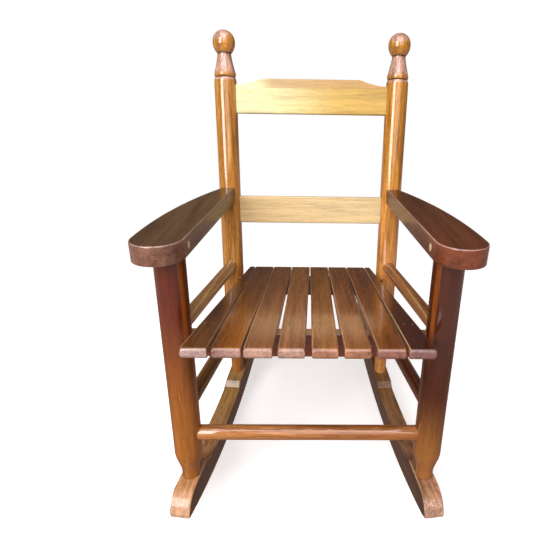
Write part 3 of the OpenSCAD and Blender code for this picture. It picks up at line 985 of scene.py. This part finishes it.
def make_screws():
    """Countersunk heads with a cross recess, flush with the back of the back posts."""
    segments = 32
    profile = ((1.9, -3.2), (4.0, -0.5), (4.2, 0.0), (4.1, 0.25), (3.2, 0.35))
    flat, depth = profile[-1][1], -1.6
    bm = bmesh.new()
    for side in (-1, 1):
        part = bmesh.new()
        rings = [ring(part, r, z, segments) for r, z in profile]
        wall(part, rings)
        part.faces.new(list(reversed(rings[0])))
        # The cross recess is a sunk star inside the head's flat
        star = []
        for k in range(segments):
            a = 2 * math.pi * k / segments
            arm_way = abs(math.cos(2 * a)) ** 6
            r = 0.75 + 1.75 * arm_way
            star.append(part.verts.new((r * math.cos(a), r * math.sin(a), flat)))
        floor = [part.verts.new((v.co.x * 0.55, v.co.y * 0.55, depth)) for v in star]
        for k in range(segments):
            n = (k + 1) % segments
            part.faces.new((rings[-1][k], rings[-1][n], star[n], star[k]))
            part.faces.new((star[k], star[n], floor[n], floor[k]))
        part.faces.new(floor)
        move = Matrix.Translation((side * SCREW_AT[0], SCREW_AT[1], SCREW_AT[2] - ARM_T))
        absorb(bm, part, move @ Matrix.Rotation(-math.pi / 2, 4, "X"))
    new_piece(
        "arm_screw_heads", bm, ARM_FRAME, metal("arm_screws", (0.62, 0.60, 0.56), 0.25),
        ["arm_screws"], sharp=30,
    )


make_screws()


# ---------------------------------------------------------------- build: rockers

ROCKER_X = BACK_FOOT.x + BACK_FOOT.y * math.tan(TOE)
ROCKER_END = (ROCKER_SPAN / 2 - ROCKER_W / 2 * math.sin(TOE)) / math.cos(TOE)
ROCKER_MID = CONTACT_Y / math.cos(TOE)


def sole(u):
    return SOLE_R - math.sqrt(SOLE_R ** 2 - (u - ROCKER_MID) ** 2)


def band_top(u):
    return SOLE_R - math.sqrt((SOLE_R - ROCKER_T) ** 2 - (u - ROCKER_MID) ** 2)


def land_line(foot, slope, reach):
    """Corner points of a land: foot of the riser, both ends of the flat, foot of the riser."""
    u0, z0, k = foot.y / math.cos(TOE), foot.z, math.tan(rad(slope))
    front = (u0 + reach[0], z0 + reach[0] * k)
    back = (u0 + reach[1], z0 + reach[1] * k)
    return [
        (front[0] - LAND_RUN, front[1] - LAND_H), front, back, (back[0] + LAND_RUN, back[1] - LAND_H),
    ]


LANDS = [
    land_line(FRONT_FOOT, FRONT_LAND_SLOPE, FRONT_LAND), land_line(BACK_FOOT, REAR_LAND_SLOPE, REAR_LAND),
]


def polyline_at(points, u):
    for a, b in zip(points, points[1:]):
        if a[0] <= u <= b[0]:
            return a[1] + (b[1] - a[1]) * (u - a[0]) / (b[0] - a[0])
    return -1e3


# Stretches of the rocker's top outline: 0 is the plain band, 1 and 2 are the lands
NOSE, TAIL = 3, 4


def rocker_surface(u):
    """Height of the top and which stretch of the outline it belongs to."""
    options = [band_top(u)] + [polyline_at(p, u) for p in LANDS]
    z = max(options)
    kind = options.index(z)
    nose = -ROCKER_END + NOSE_INSET
    tail = ROCKER_END - TAIL_R
    if u < nose:
        round_z = band_top(nose) - NOSE_R + math.sqrt(max(0, NOSE_R ** 2 - (u - nose) ** 2))
        if round_z < z:
            return round_z, NOSE
    if u > tail:
        round_z = band_top(tail) - TAIL_R + math.sqrt(max(0, TAIL_R ** 2 - (u - tail) ** 2))
        if round_z < z:
            return round_z, TAIL
    return z, kind


ROUND_STEP, BAND_STEP, CROWDING = 3.2, 9, 1.6


def rocker_top_points():
    """The top outline from front to back: exact corners, and few points between them."""
    corners = {-ROCKER_END, ROCKER_END}
    step = 0.25
    u = -ROCKER_END
    while u + step < ROCKER_END:
        a, b = u, u + step
        if rocker_surface(a)[1] != rocker_surface(b)[1]:
            for _ in range(30):
                m = (a + b) / 2
                if rocker_surface(m)[1] == rocker_surface(a)[1]:
                    a = m
                else:
                    b = m
            corners.add(a)
        u += step
    for land in LANDS:
        for p in land[1:3]:
            if abs(rocker_surface(p[0])[0] - p[1]) < 0.01:
                corners.add(p[0])
    corners = sorted(corners)
    kept = [corners[0]]
    for c in corners[1:]:
        if c - kept[-1] > 0.6:
            kept.append(c)
    points = []
    for a, b in zip(kept, kept[1:]):
        kind = rocker_surface((a + b) / 2)[1]
        count = max(1, round((b - a) / (ROUND_STEP if kind in (NOSE, TAIL) else BAND_STEP)))
        if kind in (1, 2):
            count = 1
        for i in range(count):
            # The round ends steepen, so their points crowd towards the end
            t = i / count
            if kind == NOSE:
                t = t ** CROWDING
            if kind == TAIL:
                t = 1 - (1 - t) ** CROWDING
            u = a + (b - a) * t
            points.append((u, rocker_surface(u)[0]))
    points.append((ROCKER_END, rocker_surface(ROCKER_END)[0]))
    return points


def rocker_outline():
    bottom = []
    count = 48
    for i in range(count + 1):
        u = ROCKER_END - 2 * ROCKER_END * i / count
        bottom.append((u, sole(u)))
    return rocker_top_points() + bottom


def rocker_finish_and_painted_light(side, word):
    """Painted shade on the inner faces and rear steps, painted highlights along the top inner edge and on the
    nose.
    """
    def inner(tree, coords):
        return facing(tree, (-side, 0, 0), 0.75, 0.95)

    def arris(tree, coords):
        return facing(tree, (-side, 0, 1), 0.88, 0.97)

    def nose(tree, coords):
        place = separate(tree, coords)[1]
        ahead = map_range(tree, place, (6 - ROCKER_END) * MM, (22 - ROCKER_END) * MM, 1.0, 0.0)
        return math_node(tree, "MULTIPLY", facing(tree, (0, -1, 0.4), 0.72, 0.95), ahead)

    def step(tree, coords):
        behind = map_range(tree, separate(tree, coords)[1], 0.0, 0.03)
        return math_node(tree, "MULTIPLY", facing(tree, (0, -1, 1), 0.92, 0.96), behind)

    # Painted shade on the inner faces and rear steps, painted highlights on the arris and nose.
    accents = [
        (inner, CREASE_AND_SIDE_SHADE, 0.9), (arris, ARRIS_HIGHLIGHT, 0.9),
        (nose, NOSE_HIGHLIGHT, 0.3), (step, STEP_SHADE, 0.95),
    ]
    return wood("rocker_" + word, "rocker_wood", "Y", 71 + side, (-180, 60), accents)


for side, word in ((-1, "left"), (1, "right")):
    bm = prism(rocker_outline(), "YZX", -ROCKER_W / 2, ROCKER_W / 2, 2.0, 2.0, 3)
    matrix = Matrix.Translation((side * ROCKER_X * MM, 0, 0)) @ Matrix.Rotation(side * TOE, 4, "Z")
    name = "rocker_" + word
    new_piece(
        name + "_shaped", bm, matrix, rocker_finish_and_painted_light(side, word),
        [name], weighted=True,
    )


# ---------------------------------------------------------------- stage, light and camera

# The stage is in metres
FLOOR_R = 3.0
FLOOR_GLOW = 0.6
BACKDROP_FROM, BACKDROP_FULL = 0.30, 0.85
YARD_FROM, YARD_FULL = 0.60, 0.95
MIRRORED_FLOOR = (0.30, 0.19, 0.15)
MIRRORED_YARD = (0.5, 0.36, 0.32)
MIRRORED_ROOM = (0.10, 0.08, 0.07)


def plain(name, colour, rough):
    material = bpy.data.materials.new(name)
    material.use_nodes = True
    shader = material.node_tree.nodes["Principled BSDF"]
    shader.inputs["Base Color"].default_value = (*colour, 1)
    shader.inputs["Roughness"].default_value = rough
    return material


def seen_directly(tree):
    """1 for what the camera sees, 0 for what the varnish mirrors and for bounced light."""
    return tree.nodes.new("ShaderNodeLightPath").outputs["Is Camera Ray"]


def mix_shader(tree, fac, a, b):
    node = tree.nodes.new("ShaderNodeMixShader")
    for socket, value in zip(node.inputs, (fac, a, b)):
        link(tree, value, socket)
    return node.outputs[0]


def make_floor():
    """A pale floor that fades into the white backdrop away from the chair.

    The varnish mirrors a darker, warmer floor than the one the camera sees.
    """
    bm = bmesh.new()
    bmesh.ops.create_circle(bm, cap_ends=True, segments=96, radius=FLOOR_R)
    mesh = bpy.data.meshes.new("floor")
    bm.to_mesh(mesh)
    bm.free()
    material = plain("floor_paint", (0.9, 0.9, 0.9), 0.95)
    tree = material.node_tree
    paint = tree.nodes["Principled BSDF"]
    paint.inputs["Specular IOR Level"].default_value = 0.0
    paint.inputs["Emission Color"].default_value = (1, 1, 1, 1)
    paint.inputs["Emission Strength"].default_value = FLOOR_GLOW
    place = tree.nodes.new("ShaderNodeTexCoord").outputs["Object"]
    distance = tree.nodes.new("ShaderNodeVectorMath")
    distance.operation = "LENGTH"
    link(tree, place, distance.inputs[0])
    backdrop = tree.nodes.new("ShaderNodeEmission")
    fade = map_range(tree, distance.outputs["Value"], BACKDROP_FROM, BACKDROP_FULL)
    seen = mix_shader(tree, fade, paint.outputs[0], backdrop.outputs[0])
    mirrored = tree.nodes.new("ShaderNodeEmission")
    far = map_range(tree, distance.outputs["Value"], YARD_FROM, YARD_FULL)
    link(tree, mix_colour(tree, far, MIRRORED_FLOOR, MIRRORED_YARD), mirrored.inputs["Color"])
    both = mix_shader(tree, seen_directly(tree), mirrored.outputs[0], seen)
    link(tree, both, tree.nodes["Material Output"].inputs["Surface"])
    mesh.materials.append(material)
    floor = bpy.data.objects.new("floor", mesh)
    bpy.context.scene.collection.objects.link(floor)


make_floor()

bpy.context.scene.view_settings.view_transform = "Standard"
world = bpy.data.worlds.new("studio")
bpy.context.scene.world = world
world.use_nodes = True
sky = world.node_tree
# The camera sees a white backdrop, and the varnish mirrors a dim room
sky_colour = mix_colour(sky, seen_directly(sky), MIRRORED_ROOM, (1.0, 1.0, 1.0))
link(sky, sky_colour, sky.nodes["Background"].inputs["Color"])


def area(name, place, target, size, radiance, colour):
    """A soft box given by its brightness, so that its size can change without its gleam."""
    lamp = bpy.data.lights.new(name, "AREA")
    lamp.shape = "RECTANGLE"
    lamp.size, lamp.size_y = size
    lamp.energy = radiance * math.pi * size[0] * size[1]
    lamp.color = colour
    thing = bpy.data.objects.new(name, lamp)
    bpy.context.scene.collection.objects.link(thing)
    thing.location = place
    aim = Vector(target) - Vector(place)
    thing.rotation_euler = aim.to_track_quat("-Z", "Y").to_euler()
    thing.visible_camera = False


area("window", (-1.05, -1.4, 1.3), (-0.1, 0.2, 0.45), (0.9, 1.4), 8.5, (1.0, 0.94, 0.91))
area("soft_front", (0.5, -1.8, 1.55), (0, 0.1, 0.4), (1.7, 1.5), 1.8, (1.0, 0.89, 0.90))
area("ceiling", (-0.1, -0.55, 2.1), (0, 0.0, 0.2), (1.6, 1.4), 3.4, (1.0, 0.91, 0.93))

CAMERA_AT = Vector((0.0, -583.2, 570.7))
PITCH, YAW, ROLL = 28.35, 1.11, 1.04
SENSOR, LENS = 36, 29.1528
SHIFT = (-0.076225, 0.00127)


def camera_matrix():
    p, y, r = rad(PITCH), rad(YAW), rad(ROLL)
    forward = Vector((math.sin(y) * math.cos(p), math.cos(y) * math.cos(p), -math.sin(p)))
    right = Vector((math.cos(y), -math.sin(y), 0))
    up = right.cross(forward)
    right_rolled = right * math.cos(r) + up * math.sin(r)
    up_rolled = up * math.cos(r) - right * math.sin(r)
    turn = Matrix((right_rolled, up_rolled, -forward)).transposed()
    return Matrix.Translation(CAMERA_AT * MM) @ turn.to_4x4()


lens = bpy.data.cameras.new("camera")
lens.sensor_width = SENSOR
lens.lens = LENS
lens.shift_x, lens.shift_y = SHIFT
lens.clip_start = 0.02
lens.clip_end = 60
camera = bpy.data.objects.new("camera", lens)
bpy.context.scene.collection.objects.link(camera)
camera.matrix_world = camera_matrix()
bpy.context.scene.camera = camera
